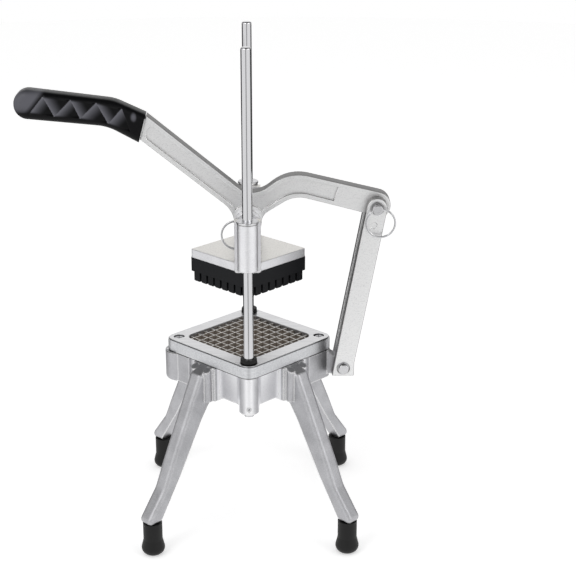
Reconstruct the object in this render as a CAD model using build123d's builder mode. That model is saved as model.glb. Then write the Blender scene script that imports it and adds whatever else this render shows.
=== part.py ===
from build123d import *
from math import cos, hypot, radians, sin, sqrt
import os

# French fry cutter: a lever press that drives a block of fingers down two guide rods
# into a square grid of blades. Millimetres. The origin is on the floor under the middle
# of the blades, +X towards the link, -X towards the handle, -Y to the front, +Z up.

# Guide rods, one in front of the press axis and one behind it
rod_dia = 9.5
rod_spacing = 138.8
rod_top = 490.0
rod_floor = 2.0  # metal of the base column left under each rod
rod_tip_round = 1.8
slide_clearance = 0.05  # radial, between a rod and what it passes through

# Blade frame, a square turned by 45 degrees whose corners stand over the rods
deck_height = 176.6
frame_side = 120.1
frame_thickness = 12.7
frame_corner_round = 11.0
frame_rabbet = 1.2
opening_edge = 0.5
opening_side = 88.9
opening_round = 8.0

# Blades, one set along each direction of the frame, half-lapped where they cross
blade_pitch = 9.525
blade_count = 9
blade_height = 6.0
blade_thickness = 0.7
blade_seat = 4.5  # how far each end of a blade reaches into the frame
blade_lip = 1.3  # metal left over the upper blades
layer_drop = 0.4  # from the top of the upper blades to the top of the lower ones
lap_clearance = 0.2
blade_slot_clearance = 0.1
blade_pin_dia = 2.5
blade_pin_inset = 3.0  # from the wall of the opening to the axis of the pin
blade_pin_clearance = 0.05

# Screws of the blade frame, at its left and right corners
frame_screw_dia = 5.0
frame_screw_head_dia = 9.8
frame_screw_head_height = 3.4
frame_screw_length = 20.0
frame_counterbore_dia = 10.8
frame_counterbore_depth = 4.6
screw_hole_clearance = 0.2
screw_hole_past = 1.0  # depth of a tapped hole beyond its screw
frame_screw_head_round = 0.6
cross_length = 5.6
cross_width = 1.3
drive_socket_dia = 4.4
drive_socket_depth = 1.6

# Rubber bumpers round the rods
bumper_dia = 15.8
bumper_rise = 4.4  # above the top of the frame
bumper_waist_dia = 13.6
bumper_waist_height = 1.2
bumper_round = 0.6
bumper_hole_clearance = 0.25

# Base casting
wall_side = 110.0
wall_opening = 95.0
wall_round = 6.0
wall_height = 31.6  # heights here run down from the deck
rod_column_dia = 19.6
column_height = 38.6
column_blend = 6.0
column_chamfer = 1.2
left_boss_dia = 28.0
left_boss_height = 30.6
left_boss_round = 4.0
corner_block_side = 119.6  # left and right corners, flush with the blade frame
corner_block_round = 10.8
corner_block_height = 29.4
leg_bay = 46.0  # width of the gap round each leg between the corner blocks
bay_depth = 3.4  # of that gap, from the outer faces of the blocks
block_edge_round = 2.0

# Legs, measured outwards from the press axis along each diagonal
leg_width = 16.0
leg_root = 50.0
leg_shoulder = 73.4
leg_hood = 61.0  # where the top of the leg leaves the deck and starts to slope
leg_armpit = 61.4
leg_drop = 6.0  # from the deck to the shoulder
leg_root_height = 34.6  # from the deck to the bottom of the leg at the wall
leg_outer_round = 4.0
rib_dia = 8.0
outer_rib_reach = 65.5
outer_rib_across = 8.5
inner_rib_reach = 58.5
inner_rib_across = 10.5

# Bends of a leg, measured back from its foot, outwards from its root and up or down
shin_back = 21.1
shin_rise = 55.6
ankle_back = 10.6
ankle_rise = 32.0
toe_out = 9.6
toe_rise = 6.0
heel_back = 3.6
calf_back = 29.9
calf_rise = 39.9
thigh_out = 12.4
thigh_drop = 17.4

# Rubber feet
foot_spacing = 189.0
foot_top = 34.0
foot_neck_dia = 18.7
foot_flare_dia = 22.4
foot_flare_height = 8.5
foot_neck_height = 16.0
foot_flat_dia = 9.0
foot_stem_dia = 7.0
foot_stem_length = 8.0

# Screws that hold the rods in the base columns
set_screw_dia = 5.0
set_screw_rise = 6.5  # above the lower end of the column
set_socket_dia = 2.4
set_screw_sink = 0.6
end_screw_dia = 6.0
end_screw_head_dia = 10.0
end_screw_head_height = 3.4
end_screw_length = 14.0

# Pusher head and block
plate_side = 79.6
plate_round = 3.0
plate_drop = 37.1  # from the pusher pivot to the underside of the plate
plate_thickness = 8.5
plate_edge_round = 0.8
sleeve_dia = 19.4
sleeve_drop = 27.1  # from the pusher pivot to the lower end of the sleeves
sleeve_height = 45.0
arm_width = 24.8
arm_inner = 54.0  # distance of the arm's tall block from the press axis
arm_outer = 64.0
arm_lift = 5.1  # underside of the arm over the underside of the plate
arm_foot_round = 5.5
arm_floor_round = 2.4
rib_width = 4.0
rib_start = 28.0
rib_rise = 19.0
bushing_dia = 13.0
flange_dia = 20.6
flange_thickness = 1.8
flange_round = 0.6
flange_neck_dia = 18.0
flange_neck_height = 0.8
block_side = 80.4
block_round = 3.0
block_thickness = 13.6
comb_side = 75.0  # over all the fingers
comb_slot = 2.5
finger_length = 11.0
finger_chamfer = 0.9
block_screw_dia = 4.8
block_screw_head_dia = 9.0
block_screw_head_height = 3.2
block_screw_length = 20.0
block_screw_reach = 44.0

# Linkage: the pusher pivot, the upper and the lower pin of the link
pivot_height = 309.6
link_upper_x = 123.8
link_upper_rise = 16.0  # above the pusher pivot
link_lower_x = 93.4
link_lower_drop = 16.1  # below the deck
pin_dia = 10.0
pin_clearance = 0.05  # radial, where a pin turns

# Ears of the pusher head and their pin
ear_dia = 24.8
ear_outer = 19.5  # distance of the outer faces from the middle plane
pivot_head_dia = 14.0
pivot_head_height = 3.0
pivot_ring_plane = 22.6
pin_end_past_ring = 3.0

# Lever, drawn relative to the pusher pivot
lever_thickness = 14.0
lever_side_gap = 0.3
lever_hub_dia = 26.6
lever_boss_dia = 27.2
lever_rim = 4.2
recess_depth = 2.4
recess_hub_dia = 34.0
recess_boss_reach = 41.2
recess_end_round = 5.5
lever_edge_round = 0.8

# Handle core and grip
handle_thickness = 16.0
grip_thickness = 24.0
grip_edge_chamfer = 3.0

# Link
link_width = 19.4
link_depth = 34.0
link_toe_drop = 8.2  # from the lower pin to the lower end
link_heel_rise = 4.8  # above the lower pin, where the outer edge turns straight down
link_foot_round = 1.0
link_edge_round = 0.8
cheek_gap = 15.0
bridge_upper_end = 40.0  # distances from the two pins
bridge_lower_end = 26.0
bridge_inset = 7.0  # from the inner edge of the link
upper_counterbore_dia = 13.2
lower_counterbore_dia = 13.0
counterbore_depth = 2.6
upper_pin_head_dia = 15.0
upper_pin_head_height = 3.0
upper_ring_plane = 21.5
clip_dia = 11.4
clip_thickness = 0.8
clip_groove_dia = 8.4
lower_pin_proud = 4.0
pin_dimple_dia = 4.6
pin_dimple_depth = 0.6
cheek_mark_dia = 7.0
cheek_mark_depth = 0.8
cheek_mark_along = 17.4  # from the upper pin, along the link and across it
cheek_mark_across = -0.2
clip_mouth = 5.0
pin_chamfer = 0.6

# Lug of the base between the cheeks: a fork that stays open on the outer side
lug_thickness = 14.4
lug_height = 19.0
fork_width = 10.8
fork_angle = 18.5
lug_blend = 5.0

# Pull rings of the two pins
ring_dia = 27.6
ring_wire_dia = 1.9
ring_hole_dia = 4.0
pivot_ring_turn = -145.0  # direction from the pin to the middle of its ring
upper_ring_turn = -77.0

# Worked-out places
rod_reach = rod_spacing / 2
corner_reach = rod_reach
frame_top = deck_height + frame_thickness
wall_foot = deck_height - wall_height
column_foot = deck_height - column_height
bay_floor = corner_block_side / 2 - bay_depth
rod_foot = column_foot + rod_floor
set_screw_height = column_foot + set_screw_rise
leg_top = deck_height - leg_drop
leg_arch = deck_height - leg_root_height
plate_foot = pivot_height - plate_drop
sleeve_foot = pivot_height - sleeve_drop
sleeve_top = sleeve_foot + sleeve_height
arm_foot = plate_foot + arm_lift
link_upper_height = pivot_height + link_upper_rise
link_lower_height = deck_height - link_lower_drop
link_foot = link_lower_height - link_toe_drop
link_heel = link_lower_height + link_heel_rise
opening_half = opening_side / 2
blade_length = opening_side + 2 * blade_seat
blade_pin_reach = opening_half + blade_pin_inset
upper_layer_foot = frame_top - blade_lip - blade_height
lower_layer_foot = upper_layer_foot - layer_drop
lap_height = (upper_layer_foot + lower_layer_foot + blade_height) / 2
bumper_top = frame_top + bumper_rise
foot_side = foot_spacing / 2
foot_reach = foot_side * sqrt(2)
plate_top = plate_foot + plate_thickness
block_foot = plate_foot - block_thickness
flange_top = sleeve_top + flange_neck_height + flange_thickness
lever_half = lever_thickness / 2
ear_inner = lever_half + lever_side_gap
ring_radius = ring_dia / 2
cheek_inner = cheek_gap / 2
cheek_outer = link_depth / 2
counterbore_floor = cheek_outer - counterbore_depth
pivot_pin_end = pivot_ring_plane + pin_end_past_ring
upper_pin_end = upper_ring_plane + pin_end_past_ring
rod_hole_dia = rod_dia + 2 * slide_clearance
pin_hole_dia = pin_dia + 2 * pin_clearance
slot_width = blade_thickness + 2 * blade_slot_clearance
link_run_x = link_lower_x - link_upper_x
link_run_z = link_lower_height - link_upper_height
link_length = sqrt(link_run_x**2 + link_run_z**2)

# Outlines relative to the pusher pivot (x, height), each point with the radius of its corner
outline_step = 1.0  # length of one unit of the outlines
boss_run = link_upper_x / outline_step
boss_rise = link_upper_rise / outline_step
lever_arms = [
    (-94.5, 105.5, 0), (-3.2, 29.9, 16), (13.1, 29.9, 26), (39.8, 50.2, 40),
    (boss_run + 3.2, boss_rise + 13.2, 0), (boss_run - 5.8, boss_rise - 8.9, 0), (45.2, 26.4, 28),
    (13.0, 6.5, 14), (13.0, -2.8, 0), (-13.0, -2.8, 0), (-13.0, 10.6, 26), (-100.9, 82.1, 0),
]
handle_core = [
    (-95.5, 101.9, 0), (-124.9, 115.6, 36), (-213.0, 126.8, 9.5), (-213.0, 107.2, 9),
    (-132.0, 98.6, 48), (-100.4, 83.9, 0),
]
grip_outline = [
    (-94.9, 106.2, 0), (-124.0, 119.8, 40), (-217.8, 131.8, 13.5), (-217.8, 103.2, 13.5),
    (-131.0, 94.8, 45), (-102.3, 79.1, 0),
]
leg_outline = [
    (leg_root, deck_height, 0), (leg_hood, deck_height, 0), (leg_shoulder, leg_top, 3),
    (foot_reach - shin_back, foot_top + shin_rise, 30),
    (foot_reach - ankle_back, foot_top + ankle_rise, 20),
    (foot_reach + toe_out, foot_top + toe_rise, 5), (foot_reach + toe_out, foot_top, 4.2),
    (foot_reach - heel_back, foot_top, 0), (foot_reach - calf_back, foot_top + calf_rise, 40),
    (leg_armpit + thigh_out, leg_arch - thigh_drop, 40), (leg_armpit, leg_arch, 12),
    (leg_root, leg_arch, 0),
]

os.makedirs("parts", exist_ok=True)


def finish(piece, name):
    piece.part.label = name
    export_step(piece.part, f"parts/{name}.step")
    print(name, len(piece.part.solids()), "solids,", round(piece.part.volume), "mm3")


def square_plane(height):
    # its axes run along the sides of the blade frame
    return Plane.XY.offset(height).rotated((0, 0, 45))


def side_plane(reach):
    # upright plane facing the front, a distance in front of the middle plane
    return Plane.XZ.offset(reach)


def placed(outline):
    # an outline drawn from the pusher pivot, in its place
    return [
        (x * outline_step, z * outline_step + pivot_height, radius * outline_step)
        for x, z, radius in outline
    ]


def draw_outline(sketch, outline):
    # a closed outline in the upright middle plane, with its corners rounded
    with BuildLine(Plane.XY) as rim:
        Polyline(*[(x, z) for x, z, radius in outline], close=True)
    make_face(rim.edges())
    for x, z, radius in outline:
        if radius > 0:
            fillet(sketch.vertices().sort_by_distance((x, z, 0))[0], radius)


def link_point(along, across):
    # along the link from its upper pin, and across it towards its outer edge
    run = (link_run_x / link_length, link_run_z / link_length)
    return (
        link_upper_x + along * run[0] - across * run[1],
        link_upper_height + along * run[1] + across * run[0],
    )


def along_at(height, across):
    # distance along the link at which a line across it reaches a height
    run_x, run_z = link_run_x / link_length, link_run_z / link_length
    return (height - link_upper_height - across * run_x) / run_z


def is_beside_column(vertex):
    # where the round of a rod column meets the wall, drawn along the sides of the wall
    place = rod_reach / sqrt(2)
    return hypot(abs(vertex.X) - place, abs(vertex.Y) - place) < rod_column_dia and vertex.X * vertex.Y > 0


def is_block_end(vertex):
    # outer end of a corner block, beside a leg
    outermost = max(abs(vertex.X), abs(vertex.Y))
    return outermost > bay_floor + bay_depth / 2 and min(abs(vertex.X), abs(vertex.Y)) < leg_bay


# Base casting: one leg first, lying in the plane of the press axis
def is_outer_edge(edge):
    # on the side of the leg that faces away from the press axis
    middle = edge @ 0.5
    inner_run = (foot_reach - heel_back - leg_armpit) / (leg_arch - foot_top)
    inner_reach = leg_armpit + (leg_arch - middle.Z) * inner_run
    return middle.X > inner_reach + leg_width / 2


with BuildPart() as leg:
    with BuildSketch(Plane.XZ) as leg_side:
        draw_outline(leg_side, leg_outline)
    extrude(amount=leg_width / 2, both=True)
    side_edges = leg.faces().filter_by(Axis.Y).edges()
    fillet(side_edges.filter_by(is_outer_edge), leg_outer_round)
    with BuildSketch(Plane.XY.offset(leg_arch)):
        for reach, across in (
            (outer_rib_reach, outer_rib_across),
            (inner_rib_reach, inner_rib_across),
        ):
            with Locations((reach, across), (reach, -across)):
                Circle(rib_dia / 2)
        with Locations(((leg_root + leg_armpit) / 2, 0)):
            Rectangle(leg_armpit - leg_root, 2 * inner_rib_across + rib_dia)
    extrude(amount=deck_height - leg_arch)
    # the ribs are cut off along the slope of the leg's top
    with BuildSketch(Plane.XZ):
        with BuildLine():
            Polyline(
                (leg_hood, deck_height), (leg_shoulder, leg_top), (leg_shoulder, deck_height), close=True
            )
        make_face()
    extrude(amount=leg_width, both=True, mode=Mode.SUBTRACT)

with BuildPart() as base_casting:
    with BuildSketch(Plane.XY.offset(deck_height - left_boss_height)):
        with Locations((-corner_reach, 0)):
            Circle(left_boss_dia / 2)
    extrude(amount=left_boss_height)
    fillet(base_casting.edges().group_by(Axis.Z)[0], left_boss_round)
    with BuildSketch(Plane.XY.offset(column_foot)):
        with Locations((0, -rod_reach), (0, rod_reach)):
            Circle(rod_column_dia / 2)
    extrude(amount=column_height)
    chamfer(base_casting.edges().group_by(Axis.Z)[0], column_chamfer)
    with BuildSketch(square_plane(wall_foot)) as wall:
        RectangleRounded(wall_side, wall_side, wall_round)
        column_place = rod_reach / sqrt(2)
        with Locations((column_place, column_place), (-column_place, -column_place)):
            Circle(rod_column_dia / 2)
        fillet(wall.vertices().filter_by(is_beside_column), column_blend)
    extrude(amount=wall_height)
    # blocks at the left and right corners, and none at the front and the rear
    with BuildSketch(square_plane(deck_height - corner_block_height)) as blocks:
        RectangleRounded(corner_block_side, corner_block_side, corner_block_round)
        Rectangle(corner_block_side, leg_bay, mode=Mode.SUBTRACT)
        Rectangle(leg_bay, corner_block_side, mode=Mode.SUBTRACT)
        # floors of the gaps, each from a corner block to the far ribs of its leg
        Rectangle(2 * bay_floor, leg_bay)
        Rectangle(leg_bay, 2 * bay_floor)
        rib_end = inner_rib_across + rib_dia / 2
        with Locations((column_place, column_place), (-column_place, -column_place)):
            Rectangle(2 * (column_place - rib_end), 2 * (column_place - rib_end), mode=Mode.SUBTRACT)
        fillet(blocks.vertices().filter_by(is_block_end), block_edge_round)
    extrude(amount=corner_block_height)
    for turn in (45, 135, 225, 315):
        add(leg.part, rotation=(0, 0, turn))
    with BuildSketch(side_plane(0)):
        with Locations((link_lower_x, link_lower_height)):
            Circle(lug_height / 2)
        with Locations(((link_lower_x + corner_reach) / 2, link_lower_height)):
            Rectangle(link_lower_x - corner_reach, lug_height)
        corner_tip = corner_block_side / sqrt(2) - corner_block_round * (sqrt(2) - 1)
        lug_top = link_lower_height + lug_height / 2
        with Locations((corner_tip, lug_top + lug_blend / 2)):
            Rectangle(2 * lug_blend, lug_blend)
        with Locations((corner_tip + lug_blend, lug_top + lug_blend)):
            Circle(lug_blend, mode=Mode.SUBTRACT)
    extrude(amount=lug_thickness / 2, both=True)
    # opening for the cut potato, and the fork for the lower pin of the link
    with BuildSketch(square_plane(column_foot)):
        RectangleRounded(wall_opening, wall_opening, opening_round)
    extrude(amount=frame_top - column_foot, mode=Mode.SUBTRACT)
    fork_reach = lug_height
    with BuildSketch(side_plane(0)):
        with Locations((link_lower_x, link_lower_height)):
            Circle(pin_hole_dia / 2)
        fork_middle = (
            link_lower_x + fork_reach / 2 * cos(radians(fork_angle)),
            link_lower_height + fork_reach / 2 * sin(radians(fork_angle)),
        )
        with Locations(fork_middle):
            Rectangle(fork_reach, fork_width, rotation=fork_angle)
    extrude(amount=lug_thickness, both=True, mode=Mode.SUBTRACT)
    # rods, their screws, the screws of the blade frame and the stems of the feet
    with BuildSketch(Plane.XY.offset(rod_foot)):
        with Locations((0, -rod_reach), (0, rod_reach)):
            Circle(rod_hole_dia / 2)
    extrude(amount=frame_top - rod_foot, mode=Mode.SUBTRACT)
    with BuildSketch(Plane.XY.offset(column_foot)):
        with Locations((0, -rod_reach), (0, rod_reach)):
            Circle(end_screw_dia / 2 + screw_hole_clearance)
    extrude(amount=rod_foot - column_foot, mode=Mode.SUBTRACT)
    with BuildSketch(side_plane(rod_reach)):
        with Locations((0, set_screw_height)):
            Circle(set_screw_dia / 2)
    extrude(amount=rod_column_dia, mode=Mode.SUBTRACT)
    with BuildSketch(side_plane(-rod_reach)):
        with Locations((0, set_screw_height)):
            Circle(set_screw_dia / 2)
    extrude(amount=-rod_column_dia, mode=Mode.SUBTRACT)
    screw_bottom = frame_top - frame_counterbore_depth - frame_screw_length
    with BuildSketch(Plane.XY.offset(screw_bottom - screw_hole_past)):
        with Locations((-corner_reach, 0), (corner_reach, 0)):
            Circle(frame_screw_dia / 2)
    extrude(amount=frame_top - screw_bottom, mode=Mode.SUBTRACT)
    with BuildSketch(Plane.XY.offset(foot_top)):
        with GridLocations(foot_spacing, foot_spacing, 2, 2):
            Circle(foot_stem_dia / 2)
    extrude(amount=foot_stem_length, mode=Mode.SUBTRACT)
finish(base_casting, "base_casting")

# Rubber feet: a domed tread, a flare and a neck, with a stem up into the leg
foot_places = {
    "front_left_foot": (-foot_side, -foot_side),
    "front_right_foot": (foot_side, -foot_side),
    "rear_left_foot": (-foot_side, foot_side),
    "rear_right_foot": (foot_side, foot_side),
}
for name, (x, y) in foot_places.items():
    with BuildPart() as foot:
        with BuildSketch(Plane(origin=(x, y, 0), x_dir=(1, 0, 0), z_dir=(0, -1, 0))):
            with BuildLine():
                Line((0, 0), (foot_flat_dia / 2, 0))
                TangentArc((foot_flat_dia / 2, 0), (foot_flare_dia / 2, foot_flare_height), tangent=(1, 0))
                Line((foot_flare_dia / 2, foot_flare_height), (foot_neck_dia / 2, foot_neck_height))
                Line((foot_neck_dia / 2, foot_neck_height), (foot_neck_dia / 2, foot_top))
                Line((foot_neck_dia / 2, foot_top), (foot_stem_dia / 2, foot_top))
                Line((foot_stem_dia / 2, foot_top), (foot_stem_dia / 2, foot_top + foot_stem_length))
                Line((foot_stem_dia / 2, foot_top + foot_stem_length), (0, foot_top + foot_stem_length))
                Line((0, foot_top + foot_stem_length), (0, 0))
            make_face()
        revolve(axis=Axis((x, y, 0), (0, 0, 1)))
    finish(foot, name)

# Guide rods with a rounded tip and a tapped hole in the lower end
for name, y in (("front_guide_rod", -rod_reach), ("rear_guide_rod", rod_reach)):
    with BuildPart() as rod:
        with BuildSketch(Plane.XY.offset(rod_foot)):
            with Locations((0, y)):
                Circle(rod_dia / 2)
        extrude(amount=rod_top - rod_foot)
        fillet(rod.edges().group_by(Axis.Z)[-1], rod_tip_round)
        with BuildSketch(Plane.XY.offset(rod_foot)):
            with Locations((0, y)):
                Circle(end_screw_dia / 2)
        extrude(amount=end_screw_length, mode=Mode.SUBTRACT)
    finish(rod, name)

# Screws from below into the rods, with a hexagon socket
with BuildPart() as rod_end_screws:
    with BuildSketch(Plane.XY.offset(column_foot)):
        with Locations((0, -rod_reach), (0, rod_reach)):
            Circle(end_screw_head_dia / 2)
    extrude(amount=-end_screw_head_height)
    with BuildSketch(Plane.XY.offset(column_foot)):
        with Locations((0, -rod_reach), (0, rod_reach)):
            Circle(end_screw_dia / 2)
    extrude(amount=end_screw_length)
    with BuildSketch(Plane.XY.offset(column_foot - end_screw_head_height)):
        with Locations((0, -rod_reach), (0, rod_reach)):
            RegularPolygon(drive_socket_dia / 2, 6)
    extrude(amount=drive_socket_depth, mode=Mode.SUBTRACT)
finish(rod_end_screws, "rod_end_screws")

# Set screws that press on the rods through the base columns
set_screw_outer = rod_reach + rod_column_dia / 2 - set_screw_sink
set_screw_inner = rod_reach + rod_dia / 2 + slide_clearance
with BuildPart() as rod_set_screws:
    for side in (1, -1):
        with BuildSketch(side_plane(side * set_screw_inner)):
            with Locations((0, set_screw_height)):
                Circle(set_screw_dia / 2)
        extrude(amount=side * (set_screw_outer - set_screw_inner))
        with BuildSketch(side_plane(side * set_screw_outer)):
            with Locations((0, set_screw_height)):
                RegularPolygon(set_socket_dia / 2, 6)
        extrude(amount=-side * drive_socket_depth, mode=Mode.SUBTRACT)
finish(rod_set_screws, "rod_set_screws")

# Blade frame: slots from below take the blade ends, drilled holes take their pins
with BuildPart() as blade_frame:
    with BuildSketch(square_plane(deck_height)):
        RectangleRounded(frame_side, frame_side, frame_corner_round)
    extrude(amount=frame_thickness)
    with BuildSketch(square_plane(frame_top)):
        RectangleRounded(frame_side, frame_side, frame_corner_round)
        inner_side = frame_side - 2 * frame_rabbet
        RectangleRounded(inner_side, inner_side, frame_corner_round - frame_rabbet, mode=Mode.SUBTRACT)
    extrude(amount=-frame_rabbet, mode=Mode.SUBTRACT)
    with BuildSketch(square_plane(deck_height)):
        RectangleRounded(opening_side, opening_side, opening_round)
    extrude(amount=frame_thickness, mode=Mode.SUBTRACT)
    chamfer(blade_frame.faces().sort_by(Axis.Z)[-1].inner_wires()[0].edges(), opening_edge)
    for across, along, layer_foot in ((0, 1, upper_layer_foot), (1, 0, lower_layer_foot)):
        slot_top = layer_foot + blade_height + blade_slot_clearance
        slot_length = blade_length + 2 * blade_slot_clearance
        with BuildSketch(square_plane(deck_height)):
            with GridLocations(
                blade_pitch, blade_pitch, 1 + across * (blade_count - 1), 1 + along * (blade_count - 1)
            ):
                if along:
                    Rectangle(slot_length, slot_width)
                else:
                    Rectangle(slot_width, slot_length)
        extrude(amount=slot_top - deck_height, mode=Mode.SUBTRACT)
    # corner holes: bumpers in front and behind, countersunk screws left and right
    with BuildSketch(Plane.XY.offset(deck_height)):
        with Locations((0, -rod_reach), (0, rod_reach)):
            Circle(bumper_dia / 2 + bumper_hole_clearance)
        with Locations((-corner_reach, 0), (corner_reach, 0)):
            Circle(frame_screw_dia / 2 + screw_hole_clearance)
    extrude(amount=frame_thickness, mode=Mode.SUBTRACT)
    with BuildSketch(Plane.XY.offset(frame_top - frame_counterbore_depth)):
        with Locations((-corner_reach, 0), (corner_reach, 0)):
            Circle(frame_counterbore_dia / 2)
    extrude(amount=frame_counterbore_depth, mode=Mode.SUBTRACT)
    # pin holes, drilled in from the two rear faces
    pin_half_length = (blade_count - 1) / 2 * blade_pitch + blade_pin_dia
    drill_length = frame_side / 2 + pin_half_length
    for turn, layer_foot in ((135, upper_layer_foot), (45, lower_layer_foot)):
        drill_plane = Plane(
            origin=(0, 0, layer_foot + blade_height / 2),
            x_dir=(-sin(radians(turn)), cos(radians(turn)), 0),
            z_dir=(cos(radians(turn)), sin(radians(turn)), 0),
        )
        with BuildSketch(drill_plane.offset(-pin_half_length)):
            with Locations((-blade_pin_reach, 0), (blade_pin_reach, 0)):
                Circle(blade_pin_dia / 2 + blade_pin_clearance)
        extrude(amount=drill_length, mode=Mode.SUBTRACT)
finish(blade_frame, "blade_frame")

# Blade strips and the pins through their ends
for name, turn, layer_foot, notch_foot, notch_top in (
    ("upper_blades", 45, upper_layer_foot, upper_layer_foot, lap_height + lap_clearance / 2),
    ("lower_blades", 135, lower_layer_foot, lap_height - lap_clearance / 2, frame_top),
):
    layer_middle = layer_foot + blade_height / 2
    run = (cos(radians(turn)), sin(radians(turn)), 0)
    across = (-sin(radians(turn)), cos(radians(turn)), 0)
    with BuildPart() as blades:
        with BuildSketch(Plane.XY.offset(layer_foot).rotated((0, 0, turn))):
            with GridLocations(blade_pitch, blade_pitch, 1, blade_count):
                Rectangle(blade_length, blade_thickness)
        extrude(amount=blade_height)
        with BuildSketch(Plane.XY.offset(notch_foot).rotated((0, 0, turn))):
            with GridLocations(blade_pitch, blade_pitch, blade_count, 1):
                Rectangle(slot_width, opening_side)
        extrude(amount=notch_top - notch_foot, mode=Mode.SUBTRACT)
        with BuildSketch(Plane(origin=(0, 0, layer_middle), x_dir=run, z_dir=across)):
            with Locations((-blade_pin_reach, 0), (blade_pin_reach, 0)):
                Circle(blade_pin_dia / 2 + blade_pin_clearance)
        extrude(amount=frame_side / 2, both=True, mode=Mode.SUBTRACT)
    finish(blades, name)
    with BuildPart() as blade_pins:
        with BuildSketch(Plane(origin=(0, 0, layer_middle), x_dir=run, z_dir=across)):
            with Locations((-blade_pin_reach, 0), (blade_pin_reach, 0)):
                Circle(blade_pin_dia / 2)
        extrude(amount=pin_half_length - blade_pin_clearance, both=True)
    finish(blade_pins, name.replace("blades", "blade_pins"))

# Screws of the blade frame
with BuildPart() as blade_frame_screws:
    head_foot = frame_top - frame_counterbore_depth
    with BuildSketch(Plane.XY.offset(head_foot)):
        with Locations((-corner_reach, 0), (corner_reach, 0)):
            Circle(frame_screw_head_dia / 2)
    extrude(amount=frame_screw_head_height)
    fillet(blade_frame_screws.edges().group_by(Axis.Z)[-1], frame_screw_head_round)
    with BuildSketch(Plane.XY.offset(head_foot)):
        with Locations((-corner_reach, 0), (corner_reach, 0)):
            Circle(frame_screw_dia / 2)
    extrude(amount=-frame_screw_length)
    with BuildSketch(Plane.XY.offset(head_foot + frame_screw_head_height)):
        with Locations((-corner_reach, 0), (corner_reach, 0)):
            Rectangle(cross_length, cross_width)
            Rectangle(cross_width, cross_length)
    extrude(amount=-drive_socket_depth, mode=Mode.SUBTRACT)
finish(blade_frame_screws, "blade_frame_screws")

# Rubber bumpers, with a waist just above the frame
for name, y in (("front_bumper", -rod_reach), ("rear_bumper", rod_reach)):
    with BuildPart() as bumper:
        with BuildSketch(Plane.XY.offset(deck_height)):
            with Locations((0, y)):
                Circle(bumper_dia / 2)
        extrude(amount=bumper_top - deck_height)
        fillet(bumper.edges().group_by(Axis.Z)[-1], bumper_round)
        with BuildSketch(Plane.XY.offset(frame_top)):
            with Locations((0, y)):
                Circle(bumper_dia / 2)
                Circle(bumper_waist_dia / 2, mode=Mode.SUBTRACT)
        extrude(amount=bumper_waist_height, mode=Mode.SUBTRACT)
        with BuildSketch(Plane.XY.offset(deck_height)):
            with Locations((0, y)):
                Circle(rod_hole_dia / 2)
        extrude(amount=bumper_top - deck_height, mode=Mode.SUBTRACT)
    finish(bumper, name)

# Pusher head: plate, two ears for the lever, and an arm with a sleeve to each rod
with BuildPart() as pusher_head:
    with BuildSketch(square_plane(plate_foot)):
        RectangleRounded(plate_side, plate_side, plate_round)
    extrude(amount=plate_thickness)
    fillet(pusher_head.faces().sort_by(Axis.Z)[-1].edges(), plate_edge_round)
    for side in (1, -1):
        with BuildSketch(side_plane(side * ear_inner)):
            with Locations((0, pivot_height)):
                Circle(ear_dia / 2)
            with Locations((0, (pivot_height + plate_top) / 2)):
                Rectangle(ear_dia, pivot_height - plate_top)
        extrude(amount=side * (ear_outer - ear_inner))
    with BuildSketch(Plane.XY.offset(sleeve_foot)):
        with Locations((0, -rod_reach), (0, rod_reach)):
            Circle(sleeve_dia / 2)
    extrude(amount=sleeve_top - sleeve_foot)
    # each arm: a tall block beside its sleeve, and a floor that runs back into the plate
    arm_floor_inner = block_screw_reach - block_screw_head_dia / 2
    for side in (1, -1):
        for inner, top, foot_round in (
            (arm_inner, sleeve_top, arm_foot_round),
            (arm_floor_inner, plate_top, arm_floor_round),
        ):
            with BuildSketch(side_plane(side * arm_outer)) as arm:
                with Locations((0, (arm_foot + top) / 2)):
                    Rectangle(arm_width, top - arm_foot)
                fillet(arm.vertices().group_by(Axis.Y)[0], foot_round)
            extrude(amount=side * (inner - arm_outer))
    for middle in (-(arm_width - rib_width) / 2, (arm_width - rib_width) / 2):
        with BuildSketch(Plane.YZ.offset(middle)):
            for side in (1, -1):
                with BuildLine():
                    Polyline(
                        (side * rib_start, plate_foot + arm_lift),
                        (side * rib_start, plate_top),
                        (side * arm_inner, plate_top + rib_rise),
                        (side * arm_inner, plate_foot + arm_lift),
                        close=True,
                    )
                make_face()
        extrude(amount=rib_width / 2, both=True)
    # bores for the bushings, the pivot pin and the screws of the block
    with BuildSketch(Plane.XY.offset(sleeve_foot)):
        with Locations((0, -rod_reach), (0, rod_reach)):
            Circle(bushing_dia / 2)
    extrude(amount=sleeve_top - sleeve_foot, mode=Mode.SUBTRACT)
    with BuildSketch(side_plane(0)):
        with Locations((0, pivot_height)):
            Circle(pin_dia / 2)
    extrude(amount=ear_outer, both=True, mode=Mode.SUBTRACT)
    with BuildSketch(Plane.XY.offset(plate_foot)):
        with Locations((0, -block_screw_reach), (0, block_screw_reach)):
            Circle(block_screw_dia / 2 + screw_hole_clearance)
    extrude(amount=plate_thickness, mode=Mode.SUBTRACT)
finish(pusher_head, "pusher_head")

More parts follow.
